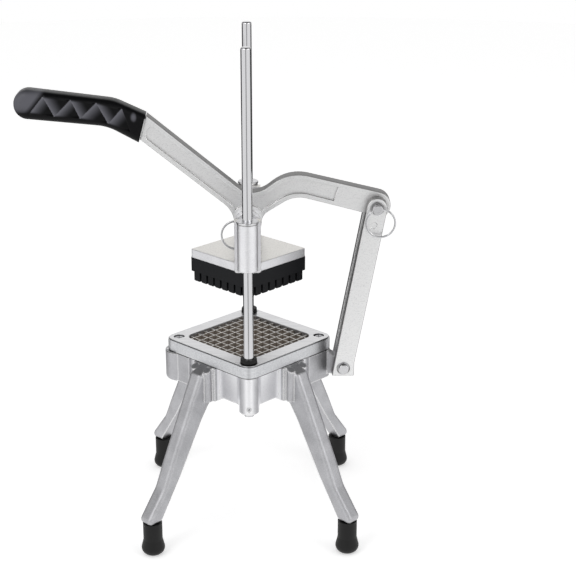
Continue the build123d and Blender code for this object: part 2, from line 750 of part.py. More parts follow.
# Flanged bushings in the sleeves
for name, y in (("front_bushing", -rod_reach), ("rear_bushing", rod_reach)):
    with BuildPart() as bushing:
        with BuildSketch(Plane.XY.offset(sleeve_foot)):
            with Locations((0, y)):
                Circle(bushing_dia / 2)
        extrude(amount=sleeve_top - sleeve_foot)
        with BuildSketch(Plane.XY.offset(sleeve_top)):
            with Locations((0, y)):
                Circle(flange_neck_dia / 2)
        extrude(amount=flange_neck_height)
        with BuildSketch(Plane.XY.offset(flange_top - flange_thickness)):
            with Locations((0, y)):
                Circle(flange_dia / 2)
        extrude(amount=flange_thickness)
        fillet(bushing.edges().group_by(Axis.Z)[-1], flange_round)
        with BuildSketch(Plane.XY.offset(sleeve_foot)):
            with Locations((0, y)):
                Circle(rod_hole_dia / 2)
        extrude(amount=flange_top - sleeve_foot, mode=Mode.SUBTRACT)
    finish(bushing, name)

# Pusher block: a slab with square fingers that pass between the blades
with BuildPart() as pusher_block:
    with BuildSketch(square_plane(block_foot)):
        RectangleRounded(block_side, block_side, block_round)
    extrude(amount=block_thickness)
    with BuildSketch(square_plane(block_foot)):
        Rectangle(comb_side, comb_side)
        with GridLocations(blade_pitch, blade_pitch, blade_count - 2, 1):
            Rectangle(comb_slot, comb_side, mode=Mode.SUBTRACT)
        with GridLocations(blade_pitch, blade_pitch, 1, blade_count - 2):
            Rectangle(comb_side, comb_slot, mode=Mode.SUBTRACT)
    extrude(amount=-finger_length)
    chamfer(pusher_block.edges().group_by(Axis.Z)[0], finger_chamfer)
    with BuildSketch(Plane.XY.offset(plate_foot)):
        with Locations((0, -block_screw_reach), (0, block_screw_reach)):
            Circle(block_screw_dia / 2)
    extrude(amount=-(block_screw_length - plate_thickness), mode=Mode.SUBTRACT)
finish(pusher_block, "pusher_block")

with BuildPart() as pusher_block_screws:
    with BuildSketch(Plane.XY.offset(plate_top)):
        with Locations((0, -block_screw_reach), (0, block_screw_reach)):
            Circle(block_screw_head_dia / 2)
    extrude(amount=block_screw_head_height)
    with BuildSketch(Plane.XY.offset(plate_top)):
        with Locations((0, -block_screw_reach), (0, block_screw_reach)):
            Circle(block_screw_dia / 2)
    extrude(amount=-block_screw_length)
    with BuildSketch(Plane.XY.offset(plate_top + block_screw_head_height)):
        with Locations((0, -block_screw_reach), (0, block_screw_reach)):
            RegularPolygon(drive_socket_dia / 2, 6)
    extrude(amount=-drive_socket_depth, mode=Mode.SUBTRACT)
finish(pusher_block_screws, "pusher_block_screws")

# Lever: two arms round the hub, with a shallow recess in both sides, and the handle core
with BuildPart() as lever_discs:
    with BuildSketch(Plane.XZ):
        with Locations((0, pivot_height)):
            Circle(lever_hub_dia / 2)
        with Locations((link_upper_x, link_upper_height)):
            Circle(lever_boss_dia / 2)
    extrude(amount=lever_half, both=True)
    fillet(lever_discs.faces().filter_by(Axis.Y).edges(), lever_edge_round)

with BuildPart() as lever:
    with BuildSketch(Plane.XZ) as arms:
        draw_outline(arms, placed(lever_arms))
    extrude(amount=lever_half, both=True)
    fillet(lever.faces().filter_by(Axis.Y).edges(), lever_edge_round)
    add(lever_discs.part)
    with BuildSketch(Plane.XZ) as recess:
        add(arms.sketch)
        offset(amount=-lever_rim)
        for x, z, radius in placed((lever_arms[0], lever_arms[-1])):
            fillet(recess.vertices().sort_by_distance((x, z, 0))[0], recess_end_round)
        with Locations((0, pivot_height)):
            Circle(recess_hub_dia / 2, mode=Mode.SUBTRACT)
        with Locations((link_upper_x, link_upper_height)):
            Circle(recess_boss_reach, mode=Mode.SUBTRACT)
    for side in (1, -1):
        with BuildSketch(side_plane(side * (lever_half - recess_depth))):
            add(recess.sketch.moved(Location((0, -side * (lever_half - recess_depth), 0))))
        extrude(amount=side * recess_depth, mode=Mode.SUBTRACT)
    with BuildSketch(Plane.XZ) as core:
        draw_outline(core, placed(handle_core))
    extrude(amount=handle_thickness / 2, both=True)
    with BuildSketch(Plane.XZ):
        with Locations((0, pivot_height), (link_upper_x, link_upper_height)):
            Circle(pin_hole_dia / 2)
    extrude(amount=handle_thickness, both=True, mode=Mode.SUBTRACT)
finish(lever, "lever")

# Grip: a thick sleeve over the handle core, closed at its end
with BuildPart() as grip:
    with BuildSketch(Plane.XZ) as grip_side:
        draw_outline(grip_side, placed(grip_outline))
    extrude(amount=grip_thickness / 2, both=True)
    chamfer(grip.faces().filter_by(Axis.Y).edges(), grip_edge_chamfer)
    with BuildSketch(Plane.XZ):
        add(core.sketch)
    extrude(amount=handle_thickness / 2, both=True, mode=Mode.SUBTRACT)
finish(grip, "grip")

# Pivot pin through the ears, with a head behind and a cross hole for its ring in front
pivot_tangent = (-sin(radians(pivot_ring_turn)), 0, cos(radians(pivot_ring_turn)))
with BuildPart() as pivot_pin:
    with BuildSketch(side_plane(-ear_outer)):
        with Locations((0, pivot_height)):
            Circle(pin_dia / 2)
    extrude(amount=ear_outer + pivot_pin_end)
    chamfer(pivot_pin.edges().group_by(Axis.Y)[0], pin_chamfer)
    with BuildSketch(side_plane(-ear_outer)):
        with Locations((0, pivot_height)):
            Circle(pivot_head_dia / 2)
    extrude(amount=-pivot_head_height)
    chamfer(pivot_pin.edges().group_by(Axis.Y)[-1], pin_chamfer)
    with BuildSketch(Plane(origin=(0, -pivot_ring_plane, pivot_height), z_dir=pivot_tangent)):
        Circle(ring_hole_dia / 2)
    extrude(amount=pin_dia, both=True, mode=Mode.SUBTRACT)
finish(pivot_pin, "pivot_pin")

# Link: two cheeks joined by a bridge along the outer edge, open for the lever and the lug
link_half = link_width / 2
link_plane = Plane(
    origin=(link_upper_x, 0, link_upper_height),
    x_dir=(link_run_x, 0, link_run_z),
    z_dir=(0, -1, 0),
)
foot_left = link_point(along_at(link_foot, -link_half), -link_half)
heel = link_point(along_at(link_heel, link_half), link_half)
with BuildPart() as link:
    with BuildSketch(Plane.XZ) as link_side:
        with BuildLine():
            Polyline(
                link_point(0, link_half),
                link_point(0, -link_half),
                foot_left,
                (heel[0], link_foot),
                heel,
                close=True,
            )
        make_face()
        for corner in (foot_left, (heel[0], link_foot)):
            fillet(link_side.vertices().sort_by_distance((corner[0], corner[1], 0))[0], link_foot_round)
        with Locations((link_upper_x, link_upper_height)):
            Circle(link_half)
    extrude(amount=cheek_outer, both=True)
    fillet(link.faces().filter_by(Axis.Y).edges(), link_edge_round)
    with BuildSketch(link_plane):
        with Locations((bridge_upper_end / 2 - link_width / 2, 0)):
            Rectangle(bridge_upper_end + link_width, 2 * link_width)
        with Locations((link_length - bridge_lower_end + link_width, 0)):
            Rectangle(2 * link_width, 2 * link_width)
        with Locations((link_length / 2, bridge_inset - link_half - link_width)):
            Rectangle(link_length, 2 * link_width)
    extrude(amount=cheek_inner, both=True, mode=Mode.SUBTRACT)
    # holes for the two pins, counterbored where the pins show
    with BuildSketch(Plane.XZ):
        with Locations((link_upper_x, link_upper_height)):
            Circle(pin_hole_dia / 2)
        with Locations((link_lower_x, link_lower_height)):
            Circle(pin_dia / 2)
    extrude(amount=cheek_outer, both=True, mode=Mode.SUBTRACT)
    with BuildSketch(side_plane(counterbore_floor)):
        with Locations((link_upper_x, link_upper_height)):
            Circle(upper_counterbore_dia / 2)
    extrude(amount=counterbore_depth, mode=Mode.SUBTRACT)
    for side in (1, -1):
        with BuildSketch(side_plane(side * counterbore_floor)):
            with Locations((link_lower_x, link_lower_height)):
                Circle(lower_counterbore_dia / 2)
        extrude(amount=side * counterbore_depth, mode=Mode.SUBTRACT)
    with BuildSketch(side_plane(cheek_outer)):
        with Locations(link_point(cheek_mark_along, cheek_mark_across)):
            Circle(cheek_mark_dia / 2)
    extrude(amount=-cheek_mark_depth, mode=Mode.SUBTRACT)
finish(link, "link")

# Upper pin of the link, fixed in the boss of the lever
upper_tangent = (-sin(radians(upper_ring_turn)), 0, cos(radians(upper_ring_turn)))
with BuildPart() as link_upper_pin:
    with BuildSketch(side_plane(-cheek_outer)):
        with Locations((link_upper_x, link_upper_height)):
            Circle(pin_dia / 2)
    extrude(amount=cheek_outer + upper_pin_end)
    chamfer(link_upper_pin.edges().group_by(Axis.Y)[0], pin_chamfer)
    with BuildSketch(side_plane(-cheek_outer)):
        with Locations((link_upper_x, link_upper_height)):
            Circle(upper_pin_head_dia / 2)
    extrude(amount=-upper_pin_head_height)
    chamfer(link_upper_pin.edges().group_by(Axis.Y)[-1], pin_chamfer)
    with BuildSketch(side_plane(upper_pin_end)):
        with Locations((link_upper_x, link_upper_height)):
            Circle(pin_dimple_dia / 2)
    extrude(amount=-pin_dimple_depth, mode=Mode.SUBTRACT)
    ring_pass = (link_upper_x, -upper_ring_plane, link_upper_height)
    with BuildSketch(Plane(origin=ring_pass, z_dir=upper_tangent)):
        Circle(ring_hole_dia / 2)
    extrude(amount=pin_dia, both=True, mode=Mode.SUBTRACT)
finish(link_upper_pin, "link_upper_pin")

# Lower pin of the link, held by a clip in a groove at each end
lower_pin_end = cheek_outer + lower_pin_proud
with BuildPart() as link_lower_pin:
    with BuildSketch(Plane.XZ):
        with Locations((link_lower_x, link_lower_height)):
            Circle(pin_dia / 2)
    extrude(amount=lower_pin_end, both=True)
    chamfer(link_lower_pin.faces().filter_by(Axis.Y).edges(), pin_chamfer)
    for side in (1, -1):
        with BuildSketch(side_plane(side * counterbore_floor)):
            with Locations((link_lower_x, link_lower_height)):
                Circle(pin_dia / 2)
                Circle(clip_groove_dia / 2, mode=Mode.SUBTRACT)
        extrude(amount=side * clip_thickness, mode=Mode.SUBTRACT)
finish(link_lower_pin, "link_lower_pin")

with BuildPart() as lower_pin_clips:
    for side in (1, -1):
        with BuildSketch(side_plane(side * counterbore_floor)):
            with Locations((link_lower_x, link_lower_height)):
                Circle(clip_dia / 2)
                Circle(clip_groove_dia / 2, mode=Mode.SUBTRACT)
            with Locations((link_lower_x, link_lower_height - clip_dia / 2)):
                Rectangle(clip_mouth, clip_dia, mode=Mode.SUBTRACT)
        extrude(amount=side * clip_thickness)
finish(lower_pin_clips, "lower_pin_clips")

# Pull rings: each passes through the cross hole of its pin and hangs in front of it
for name, x, height, ring_plane, turn in (
    ("pivot_pull_ring", 0, pivot_height, pivot_ring_plane, pivot_ring_turn),
    ("upper_pull_ring", link_upper_x, link_upper_height, upper_ring_plane, upper_ring_turn),
):
    ring_middle = (
        x + ring_radius * cos(radians(turn)),
        -ring_plane,
        height + ring_radius * sin(radians(turn)),
    )
    with BuildPart(Plane(origin=ring_middle, z_dir=(0, -1, 0))) as pull_ring:
        Torus(ring_radius, ring_wire_dia / 2)
    finish(pull_ring, name)
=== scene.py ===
from math import cos, pi, radians, sin, tan

import bmesh
import bpy
import numpy
from mathutils import Matrix, Vector


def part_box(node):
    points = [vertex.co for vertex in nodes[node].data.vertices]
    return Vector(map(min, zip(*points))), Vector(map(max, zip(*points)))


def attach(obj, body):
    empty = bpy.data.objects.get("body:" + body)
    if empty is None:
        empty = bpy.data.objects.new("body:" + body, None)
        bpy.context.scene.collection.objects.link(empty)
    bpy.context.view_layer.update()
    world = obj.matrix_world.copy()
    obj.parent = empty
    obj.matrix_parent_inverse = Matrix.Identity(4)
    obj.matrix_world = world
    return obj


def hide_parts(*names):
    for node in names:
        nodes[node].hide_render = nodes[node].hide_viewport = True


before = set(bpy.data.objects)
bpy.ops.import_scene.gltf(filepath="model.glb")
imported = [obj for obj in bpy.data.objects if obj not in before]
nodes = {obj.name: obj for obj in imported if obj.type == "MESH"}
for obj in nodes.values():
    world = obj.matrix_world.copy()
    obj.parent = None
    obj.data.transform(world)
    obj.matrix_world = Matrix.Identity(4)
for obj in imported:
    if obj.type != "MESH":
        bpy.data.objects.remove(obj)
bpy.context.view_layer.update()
scene = bpy.context.scene
scene.view_settings.view_transform = "Standard"
print("frame loaded:", len(nodes), "nodes")

mm = 0.001  # the sizes of the pieces are in millimetres, those of camera and studio in metres
white = (1, 1, 1, 1)
noiseLow, noiseHigh = 0.3, 0.7  # nearly all of a noise texture lies between these
paintedShadeSamples, bevelSamples = 6, 4


def middleOf(name):
    low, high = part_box(name)
    return (Vector(low) + Vector(high)) / 2


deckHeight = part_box("blade_frame")[0][2]  # where the blade frame lies on the base
pivot = middleOf("pivot_pin")
linkPin = middleOf("link_upper_pin")


def linear(hexCode):  # sRGB hex to linear colour
    channels = [int(hexCode[i:i + 2], 16) / 255 for i in (0, 2, 4)]
    return tuple(c / 12.92 if c <= 0.04045 else ((c + 0.055) / 1.055) ** 2.4 for c in channels) + (1.0,)


def addNode(tree, kind, values=None, links=None, **settings):
    node = tree.nodes.new(kind)
    for name, value in settings.items():
        setattr(node, name, value)
    for socket, value in (values or {}).items():
        node.inputs[socket].default_value = value
    for socket, source in (links or {}).items():
        tree.links.new(source, node.inputs[socket])
    return node


def newMaterial(name):
    material = bpy.data.materials.new(name)
    material.use_nodes = True
    tree = material.node_tree
    tree.nodes.clear()
    shader = addNode(tree, "ShaderNodeBsdfPrincipled")
    addNode(tree, "ShaderNodeOutputMaterial", links={"Surface": shader.outputs["BSDF"]})
    place = addNode(tree, "ShaderNodeTexCoord").outputs["Object"]
    return material, tree, shader, place


def patternScale(sizeMm):  # noise scale whose features are about this wide
    return 1 / (sizeMm * mm)


camera = {
    "place": (0.010, -1.331, 0.716),
    "yaw": 1.24, "pitch": 19.69, "roll": 0.01,  # degrees
    "focalPixels": 1436, "imagePixels": 576, "sensorMm": 36, "clipStart": 0.01,
}


def addCamera():
    data = bpy.data.cameras.new("viewCamera")
    data.sensor_width = camera["sensorMm"]
    data.lens = camera["focalPixels"] / camera["imagePixels"] * camera["sensorMm"]
    data.clip_start = camera["clipStart"]
    holder = bpy.data.objects.new("viewCamera", data)
    scene.collection.objects.link(holder)
    yaw, pitch = radians(camera["yaw"]), radians(camera["pitch"])
    forward = Vector((sin(yaw) * cos(pitch), cos(yaw) * cos(pitch), -sin(pitch)))
    right = Vector((cos(yaw), -sin(yaw), 0))
    up = right.cross(forward)
    turn = Matrix((right, up, -forward)).transposed().to_4x4()
    roll = Matrix.Rotation(radians(camera["roll"]), 4, "Z")
    holder.matrix_world = Matrix.Translation(camera["place"]) @ turn @ roll
    scene.camera = holder


addCamera()

# What metal reflects goes round with the azimuth, in degrees from the front: a narrow grey flag in the
# middle, wide white paper, and a dark gap on either side towards the back.
studio = {
    "aroundDegrees": (0, 6, 14, 94, 106, 150, 160, 180),
    "floorGrey": (0.34, 0.36, 1.0, 1.0, 0.05, 0.05, 0.05, 0.05),
    "worldGrey": (0.45, 0.48, 1.0, 1.0, 0.25, 0.35, 1.0, 1.0),
    "nearFloor": 0.42, "farFloor": 0.588,  # reflected white up to the first, as above from the second
    "topGrey": 0.12, "topFrom": 0.45, "topTo": 0.85,  # darker overhead, by the height of the direction
    "floor": "F4F4F4", "floorRoughness": 0.9, "floorSpecular": 0.1, "floorGlow": 0.42,
    "floorRadius": 3.2, "floorSegments": 64, "floorDrop": 0.0002,
    "worldLight": 0.62, "lampSize": 0.9, "lampAim": (0, 0, 0.25),
    "lamps": (("keyLight", (-1.1, -1.3, 1.5), 9), ("fillLight", (1.4, -1.0, 1.1), 5)),
}


def aroundLevel(tree, x, y, greys):  # grey level for a direction, from its azimuth
    side = addNode(tree, "ShaderNodeMath", operation="ABSOLUTE", links={0: x})
    front = addNode(tree, "ShaderNodeMath", operation="MULTIPLY", values={1: -1.0}, links={0: y})
    angle = addNode(tree, "ShaderNodeMath", operation="ARCTAN2",
                    links={0: side.outputs[0], 1: front.outputs[0]})
    share = addNode(tree, "ShaderNodeMath", operation="DIVIDE", values={1: pi}, links={0: angle.outputs[0]})
    ramp = addNode(tree, "ShaderNodeValToRGB", links={"Fac": share.outputs[0]})
    levels = ramp.color_ramp.elements
    while len(levels) < len(studio["aroundDegrees"]):
        levels.new(0.5)
    for level, degrees, grey in zip(levels, studio["aroundDegrees"], greys):
        level.position = degrees / 180
        level.color = (grey, grey, grey, 1)
    return ramp.outputs["Color"]


def studioPaper():
    material, tree, shader, place = newMaterial("matt white studio paper")
    shader.inputs["Base Color"].default_value = linear(studio["floor"])
    shader.inputs["Roughness"].default_value = studio["floorRoughness"]
    shader.inputs["Specular IOR Level"].default_value = studio["floorSpecular"]
    glow = addNode(tree, "ShaderNodeEmission", values={"Strength": studio["floorGlow"]})
    lit = addNode(tree, "ShaderNodeAddShader",
                  links={0: shader.outputs["BSDF"], 1: glow.outputs["Emission"]})
    spot = addNode(tree, "ShaderNodeSeparateXYZ", links={"Vector": place})
    reach = addNode(tree, "ShaderNodeVectorMath", operation="LENGTH", links={0: place})
    far = addNode(tree, "ShaderNodeMapRange", links={"Value": reach.outputs["Value"]},
                  values={"From Min": studio["nearFloor"], "From Max": studio["farFloor"]})
    grey = aroundLevel(tree, spot.outputs["X"], spot.outputs["Y"], studio["floorGrey"])
    around = addNode(tree, "ShaderNodeMix", data_type="RGBA", values={"A": white},
                     links={"Factor": far.outputs[0], "B": grey})
    mirrored = addNode(tree, "ShaderNodeEmission", links={"Color": around.outputs["Result"]})
    path = addNode(tree, "ShaderNodeLightPath")
    seen = addNode(tree, "ShaderNodeMixShader", links={
        0: path.outputs["Is Camera Ray"], 1: shader.outputs["BSDF"], 2: lit.outputs["Shader"]})
    mix = addNode(tree, "ShaderNodeMixShader", links={
        0: path.outputs["Is Glossy Ray"], 1: seen.outputs["Shader"], 2: mirrored.outputs["Emission"]})
    output = next(node for node in tree.nodes if node.type == "OUTPUT_MATERIAL")
    tree.links.new(mix.outputs["Shader"], output.inputs["Surface"])
    return material


def addFloor():
    build = bmesh.new()
    bmesh.ops.create_circle(
        build, cap_ends=True, segments=studio["floorSegments"], radius=studio["floorRadius"])
    mesh = bpy.data.meshes.new("studioFloor")
    build.to_mesh(mesh)
    build.free()
    mesh.materials.append(studioPaper())
    floor = bpy.data.objects.new("studioFloor", mesh)
    floor.location.z = -studio["floorDrop"]
    scene.collection.objects.link(floor)


def addWorld():
    world = bpy.data.worlds.new("softStudio")
    scene.world = world
    world.use_nodes = True
    tree = world.node_tree
    tree.nodes.clear()
    direction = addNode(tree, "ShaderNodeTexCoord").outputs["Generated"]
    axes = addNode(tree, "ShaderNodeSeparateXYZ", links={"Vector": direction})
    fall = addNode(tree, "ShaderNodeMapRange", links={"Value": axes.outputs["Z"]}, values={
        "From Min": studio["topFrom"], "From Max": studio["topTo"],
        "To Min": 1.0, "To Max": studio["topGrey"]})
    grey = aroundLevel(tree, axes.outputs["X"], axes.outputs["Y"], studio["worldGrey"])
    level = addNode(tree, "ShaderNodeMix", data_type="RGBA", blend_type="MULTIPLY",
                    values={"Factor": 1.0}, links={"A": grey, "B": fall.outputs[0]})
    soft = addNode(tree, "ShaderNodeBackground", values={"Color": white, "Strength": studio["worldLight"]})
    seen = addNode(tree, "ShaderNodeBackground", values={"Color": white, "Strength": 1.0})
    gloss = addNode(tree, "ShaderNodeBackground", values={"Strength": 1.0},
                    links={"Color": level.outputs["Result"]})
    path = addNode(tree, "ShaderNodeLightPath")
    first = addNode(tree, "ShaderNodeMixShader", links={
        0: path.outputs["Is Glossy Ray"], 1: soft.outputs[0], 2: gloss.outputs[0]})
    second = addNode(tree, "ShaderNodeMixShader", links={
        0: path.outputs["Is Camera Ray"], 1: first.outputs[0], 2: seen.outputs[0]})
    addNode(tree, "ShaderNodeOutputWorld", links={"Surface": second.outputs[0]})


def addLamps():
    for name, place, power in studio["lamps"]:
        data = bpy.data.lights.new(name, "AREA")
        data.size = studio["lampSize"]
        data.energy = power
        lamp = bpy.data.objects.new(name, data)
        lamp.location = place
        aim = Vector(studio["lampAim"]) - Vector(place)
        lamp.rotation_euler = aim.to_track_quat("-Z", "Y").to_euler()
        scene.collection.objects.link(lamp)


addFloor()
addWorld()
addLamps()
print("camera and studio ready")

# A painted shadow line along the joint between the blade frame and the base, on the upright faces of both.
seamShadow = {"fromMm": 0.8, "fullMm": 0.4, "uprightTo": 0.3}


def seamShadowLine(tree, place, facingUp, side):  # 1 along the joint; side is 1 for the piece above it, or -1
    height = addNode(tree, "ShaderNodeSeparateXYZ", links={"Vector": place}).outputs["Z"]
    shadowLine = addNode(tree, "ShaderNodeMapRange", links={"Value": height}, values={
        "From Min": deckHeight + side * seamShadow["fromMm"] * mm,
        "From Max": deckHeight + side * seamShadow["fullMm"] * mm})
    tilt = addNode(tree, "ShaderNodeMath", operation="ABSOLUTE", links={0: facingUp})
    upright = addNode(tree, "ShaderNodeMath", operation="LESS_THAN", values={1: seamShadow["uprightTo"]},
                      links={0: tilt.outputs[0]})
    return addNode(tree, "ShaderNodeMath", operation="MULTIPLY",
                   links={0: shadowLine.outputs[0], 1: upright.outputs[0]}).outputs[0]


def paintCornerShade(tree, colour, look):  # painted shade where other faces stand close
    light = addNode(tree, "ShaderNodeAmbientOcclusion", samples=paintedShadeSamples,
                    values={"Distance": look["paintedShadeMm"] * mm})
    unshadedShare = addNode(tree, "ShaderNodeMapRange", links={"Value": light.outputs["AO"]},
                    values={"From Min": look["paintedShadeFrom"], "From Max": look["paintedShadeTo"]})
    cornerShaded = addNode(tree, "ShaderNodeMix", data_type="RGBA", values={"A": linear(look["paintedShade"])},
                     links={"Factor": unshadedShare.outputs[0], "B": colour})
    return cornerShaded.outputs["Result"]


# Sand-cast aluminium, tumbled in a drum: satin grey with an even grain. A band along the edges is painted
# bright as a highlight, and dark as a shade line on the pusher head; corners get painted shade. Faces that
# were ground or milled are lighter, with faint lines. Grain and lines are drawn coarser than real ones,
# which are too fine to show.
castMetal = {
    "grainMm": 0.8, "grainRoughness": 0.6, "patchMm": 16, "patchShare": 0.3, "detail": 3.0,
    "toneFrom": 0.36, "toneTo": 0.64,
    "lineMm": 0.6, "lineStretch": 2, "lineDetail": 2.0, "lineFrom": 0.25, "lineTo": 0.5,
    "facingFrom": 0.93, "facingTo": 0.985, "groundFadeMm": 2, "edgeFrom": 0.008, "edgeTo": 0.08,
    # on the next line, 7A7876 is painted shade in corners and 3A3836 a painted shadow line below the blade
    # frame
    "paintedShade": "7A7876", "paintedShadeMm": 1.8, "paintedShadeFrom": 0.25, "paintedShadeTo": 0.65, "seamShade": "3A3836",
    "roughness": 0.44, "smoother": 0.06, "rougher": 0.08, "groundRoughness": 0.36,
    "bump": 0.25, "bumpMm": 0.2,
}
# edge is the colour of the band painted along the edges: a painted highlight on lever and base, a painted
# dark shade line on the head
castings = {
    "lever": {
        # sides belt-ground and lighter; the skin on the other faces is also darkened as painted shade for the
        # lever's top band
        "name": "cast lever aluminium, sides belt-ground", "skin": "949392", "shade": "828181",
        "ground": "F4F4F4", "groundShade": "DEDEDF", "groundAxis": "Y", "edge": "FAFAFA", "edgeMm": 1.1,
    },
    "head": {
        "name": "cast pusher aluminium, top milled", "skin": "F4F4F6", "shade": "E0E0E3",
        "ground": "EAE8E4", "groundShade": "CCCAC6", "groundAxis": "Z", "edge": "A9A7A4", "edgeMm": 0.7,
    },
    "base": {  # ground all over nearer the press axis than groundReachMm, which is x and y together
        "name": "tumbled cast base aluminium", "skin": "C9C9CC", "shade": "A6A6A9",
        "ground": "F8F8FA", "groundShade": "E4E4E6", "groundReachMm": 83.5, "edge": "FAFAFA", "edgeMm": 2.2,
        "deckSide": -1,
    },
}


def groundShare(tree, place, axes, look):  # 1 on faces that were ground after casting
    if "groundAxis" in look:
        turned = addNode(tree, "ShaderNodeMath", operation="ABSOLUTE",
                         links={0: axes.outputs[look["groundAxis"]]})
        return addNode(tree, "ShaderNodeMapRange", links={"Value": turned.outputs[0]}, values={
            "From Min": castMetal["facingFrom"], "From Max": castMetal["facingTo"]}).outputs[0]
    apart = addNode(tree, "ShaderNodeVectorMath", operation="ABSOLUTE", links={0: place})
    reach = addNode(tree, "ShaderNodeVectorMath", operation="DOT_PRODUCT", values={1: (1, 1, 0)},
                    links={0: apart.outputs["Vector"]})
    return addNode(tree, "ShaderNodeMapRange", links={"Value": reach.outputs["Value"]}, values={
        "From Min": look["groundReachMm"] * mm,
        "From Max": (look["groundReachMm"] - castMetal["groundFadeMm"]) * mm}).outputs[0]


def castSkin(tree, look, place, grain):  # the cast surface, mottled by its grain and by wide patches
    patch = addNode(tree, "ShaderNodeTexNoise", links={"Vector": place},
                    values={"Scale": patternScale(castMetal["patchMm"]), "Detail": castMetal["detail"]})
    both = addNode(tree, "ShaderNodeMix", data_type="FLOAT", values={"Factor": castMetal["patchShare"]},
                   links={"A": grain, "B": patch.outputs["Fac"]})
    spread = addNode(tree, "ShaderNodeMapRange", links={"Value": both.outputs[0]},
                     values={"From Min": castMetal["toneFrom"], "From Max": castMetal["toneTo"]})
    return addNode(tree, "ShaderNodeMix", data_type="RGBA", links={"Factor": spread.outputs[0]}, values={
        "A": linear(look["shade"]), "B": linear(look["skin"])}).outputs["Result"]


def groundSkin(tree, look, place):  # lines from the belt or the cutter
    stretch = addNode(tree, "ShaderNodeMapping", links={"Vector": place},
                      values={"Scale": (1 / castMetal["lineStretch"], 1, 1)})
    lines = addNode(tree, "ShaderNodeTexNoise", links={"Vector": stretch.outputs[0]},
                    values={"Scale": patternScale(castMetal["lineMm"]), "Detail": castMetal["lineDetail"]})
    spread = addNode(tree, "ShaderNodeMapRange", links={"Value": lines.outputs["Fac"]},
                     values={"From Min": castMetal["lineFrom"], "From Max": castMetal["lineTo"]})
    return addNode(tree, "ShaderNodeMix", data_type="RGBA", links={"Factor": spread.outputs[0]}, values={
        "A": linear(look["groundShade"]), "B": linear(look["ground"])}).outputs["Result"]


def tumbledCastAluminium(look):
    material, tree, shader, place = newMaterial(look["name"])
    grain = addNode(tree, "ShaderNodeTexNoise", links={"Vector": place}, values={
        "Scale": patternScale(castMetal["grainMm"]), "Detail": castMetal["detail"],
        "Roughness": castMetal["grainRoughness"]}).outputs["Fac"]
    facing = addNode(tree, "ShaderNodeTexCoord").outputs["Normal"]
    axes = addNode(tree, "ShaderNodeSeparateXYZ", links={"Vector": facing})
    flat = groundShare(tree, place, axes, look)
    body = addNode(tree, "ShaderNodeMix", data_type="RGBA", links={
        "Factor": flat, "A": castSkin(tree, look, place, grain), "B": groundSkin(tree, look, place)})
    # a band along each edge is painted bright as a highlight (dark as a shade line on the head): an edge is
    # where a wide bevel would lean away from the face
    bevel = addNode(tree, "ShaderNodeBevel", samples=bevelSamples, values={"Radius": look["edgeMm"] * mm})
    plain = addNode(tree, "ShaderNodeNewGeometry").outputs["True Normal"]
    lean = addNode(tree, "ShaderNodeVectorMath", operation="DOT_PRODUCT",
                   links={0: bevel.outputs["Normal"], 1: plain})
    paintedLight = addNode(tree, "ShaderNodeMapRange", links={"Value": lean.outputs["Value"]},
                     values={"From Min": 1 - castMetal["edgeFrom"], "From Max": 1 - castMetal["edgeTo"]})
    # painted shade in corners first, then the painted edge band over it
    withPaintedLight = addNode(tree, "ShaderNodeMix", data_type="RGBA", values={"B": linear(look["edge"])}, links={
        "Factor": paintedLight.outputs[0], "A": paintCornerShade(tree, body.outputs["Result"], castMetal)})
    colour = withPaintedLight.outputs["Result"]
    # a painted shadow line along the joint below the blade frame
    if "deckSide" in look:
        shadowLine = seamShadowLine(tree, place, axes.outputs["Z"], look["deckSide"])
        colour = addNode(tree, "ShaderNodeMix", data_type="RGBA", values={"B": linear(castMetal["seamShade"])},
                         links={"Factor": shadowLine, "A": colour}).outputs["Result"]
    tree.links.new(colour, shader.inputs["Base Color"])
    shader.inputs["Metallic"].default_value = 1.0
    rough = addNode(tree, "ShaderNodeMapRange", links={"Value": grain}, values={
        "From Min": noiseLow, "From Max": noiseHigh,
        "To Min": castMetal["roughness"] - castMetal["smoother"],
        "To Max": castMetal["roughness"] + castMetal["rougher"]})
    smooth = addNode(tree, "ShaderNodeMix", data_type="FLOAT", values={"B": castMetal["groundRoughness"]},
                     links={"Factor": flat, "A": rough.outputs[0]})
    tree.links.new(smooth.outputs[0], shader.inputs["Roughness"])
    bump = addNode(tree, "ShaderNodeBump", links={"Height": grain, "Normal": bevel.outputs["Normal"]},
                   values={"Strength": castMetal["bump"], "Distance": castMetal["bumpMm"] * mm})
    tree.links.new(bump.outputs["Normal"], shader.inputs["Normal"])
    return material


# Milled aluminium, brushed along its sides: brighter on top than the castings, its upright sides a little
# darker as painted shade, with straight streaks that are drawn wider than real ones so that they show.
brushed = {
    "name": "milled aluminium frame", "turn": -45, "deckSide": 1,
    "top": "EDEDEE", "topShade": "DADADC", "side": "DEDFE1", "sideShade": "C2C3C6", "roughness": 0.34,
    "streakMm": 0.8, "streakLengthMm": 30, "detail": 2.0, "toneFrom": 0.35, "toneTo": 0.65,
    # 2E2C2A on the next line is painted shade, both in the frame's corners and as a shadow line along its
    # foot
    "paintedShade": "2E2C2A", "paintedShadeMm": 2.4, "paintedShadeFrom": 0.45, "paintedShadeTo": 0.85, "bump": 0.12, "bumpMm": 0.1,
}


